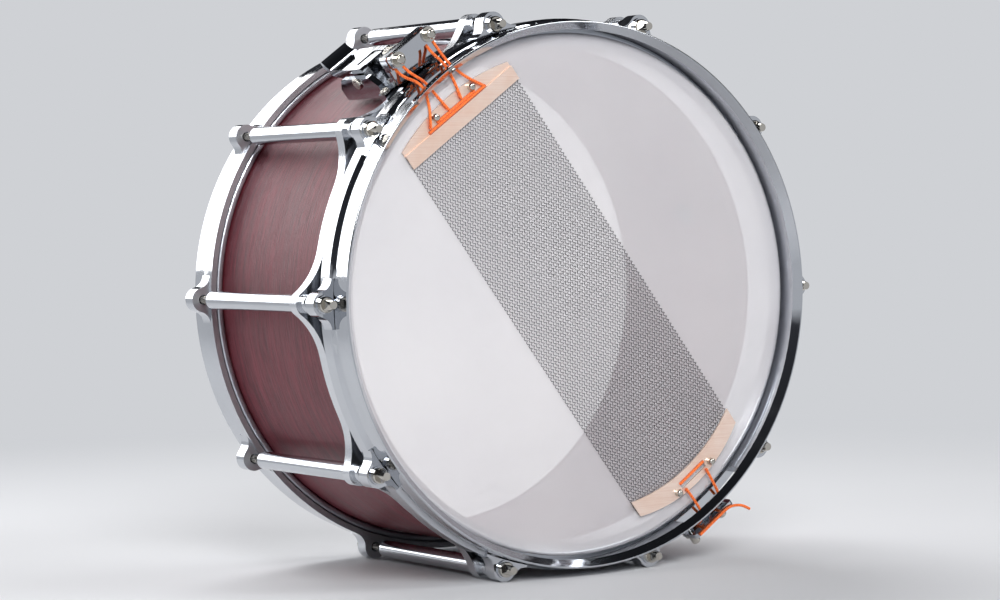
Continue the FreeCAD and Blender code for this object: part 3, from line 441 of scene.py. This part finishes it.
def make_snare_wires():
    """Forty-two coiled wires between the end plates, in place of the plain rods."""
    count = 42
    wire_radius = 0.00022
    wire_sides = 4
    turn_length = 0.0032
    steps_per_turn = 6
    first_angle = math.radians(30.0)                 # so that steps fall on a turn's widest points
    end_clearance = 0.001
    low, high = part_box("snare_strands")
    length, width = wire_set_size(low, high)
    coil_radius = (high.y - low.y) / 2.0
    pitch = (width - 2.0 * coil_radius) / (count - 1)
    centre = np.array((low + high) / 2.0)
    outward = np.array(OUTWARD)
    tangent = np.array(TANGENT)
    depth = np.array((0.0, 1.0, 0.0))
    turns = round(length / turn_length)
    t = np.linspace(0.0, 1.0, turns * steps_per_turn + 1)
    angle = 2.0 * math.pi * turns * t + first_angle
    rise = np.cos(angle) * (coil_radius - wire_radius)
    sway = np.sin(angle) * (coil_radius - wire_radius)
    run = (t - 0.5) * (length - 2.0 * end_clearance)
    paths = []
    for i in range(count):
        aside = (i - (count - 1) / 2.0) * pitch
        paths.append(centre + run[:, None] * outward + (aside + sway)[:, None] * tangent
                     + rise[:, None] * depth)
    wires = bpy.data.objects.new("snare_wires", tube_mesh("snare_wires", paths, wire_radius, wire_sides))
    bpy.context.scene.collection.objects.link(wires)
    wires.data.materials.append(MATERIALS["snare_steel"])
    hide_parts("snare_strands")
    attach(wires, "snares")


make_snare_wires()


# ---------------------------------------------------------------- floor, sky and lights
PALE = srgb("#cfd1d5")


def make_floor():
    """Pale floor under the lamps, fading into the walls' even tone farther from the drum."""
    half = 14.0
    fade_start = 0.3
    fade_end = 1.3
    mesh = bpy.data.meshes.new("floor")
    corners = [(-half, -half, 0.0), (half, -half, 0.0), (half, half, 0.0), (-half, half, 0.0)]
    mesh.from_pydata(corners, [], [(0, 1, 2, 3)])
    floor = bpy.data.objects.new("floor", mesh)
    bpy.context.scene.collection.objects.link(floor)
    made, tree, shader = material("floor")
    tone = mixed(tree, noise(tree, place(tree), 3.0, 3.0), srgb("#dadbde"), srgb("#d5d6d9"))
    fill(tree, shader, Base_Color=tone, Roughness=0.62)
    shader.inputs["Specular IOR Level"].default_value = 0.2
    glow = add(tree, "Emission", {"Color": (*PALE, 1.0)})
    where = add(tree, "TexCoord").outputs["Object"]
    away = add(tree, "VectorMath", {0: where}, operation="LENGTH").outputs["Value"]
    fade = add(tree, "MapRange", {"Value": away, "From Min": fade_start, "From Max": fade_end},
               interpolation_type="SMOOTHSTEP").outputs["Result"]
    ray = add(tree, "LightPath").outputs
    mirrored = maths(tree, "MAXIMUM", ray["Is Glossy Ray"], ray["Is Transmission Ray"])
    seen = maths(tree, "MAXIMUM", ray["Is Camera Ray"], mirrored)
    glowing = maths(tree, "MULTIPLY", fade, seen)
    both = add(tree, "MixShader", {0: glowing, 1: shader.outputs[0], 2: glow.outputs[0]})
    out = next(n for n in tree.nodes if n.type == "OUTPUT_MATERIAL")
    tree.links.new(both.outputs[0], out.inputs["Surface"])
    mesh.materials.append(made)


def make_sky():
    """Studio surround: pale up to 5 degrees above the horizon, and dark from 10 degrees up."""
    pale_up_to = 0.09
    dark_from = 0.17
    world = bpy.data.worlds.new("studio")
    bpy.context.scene.world = world
    world.use_nodes = True
    tree = world.node_tree
    tree.nodes.clear()
    out = tree.nodes.new("ShaderNodeOutputWorld")
    background = tree.nodes.new("ShaderNodeBackground")
    tree.links.new(background.outputs[0], out.inputs["Surface"])
    height = add(tree, "SeparateXYZ", {0: add(tree, "TexCoord").outputs["Generated"]}).outputs["Z"]
    colour = ramp(tree, height, [(0.0, PALE), (pale_up_to, PALE), (dark_from, srgb("#3a3b40")),
                                 (1.0, srgb("#1b1c1f"))])
    put(tree, background.inputs["Color"], colour)
    background.inputs["Strength"].default_value = 1.0


def softbox(name, where, target, width, height, power):
    """A white rectangular lamp that faces the target, its sizes in metres and its power in watts."""
    data = bpy.data.lights.new(name, "AREA")
    data.shape = "RECTANGLE"
    data.size = width
    data.size_y = height
    data.energy = power
    lamp = bpy.data.objects.new(name, data)
    bpy.context.scene.collection.objects.link(lamp)
    lamp.location = where
    lamp.rotation_euler = (Vector(target) - Vector(where)).to_track_quat("-Z", "Y").to_euler()


make_floor()
make_sky()
softbox("key", (-1.2, -2.9, 1.9), AXIS, 1.6, 1.6, 104.0)
softbox("top", (0.1, 1.7, 2.5), AXIS, 2.0, 0.9, 50.0)
softbox("front", (1.9, -2.2, 2.3), AXIS, 1.6, 1.2, 45.0)
softbox("rear", (-0.9, 2.8, 1.2), AXIS, 3.2, 1.6, 58.0)

scene = bpy.context.scene
scene.view_settings.view_transform = "Standard"
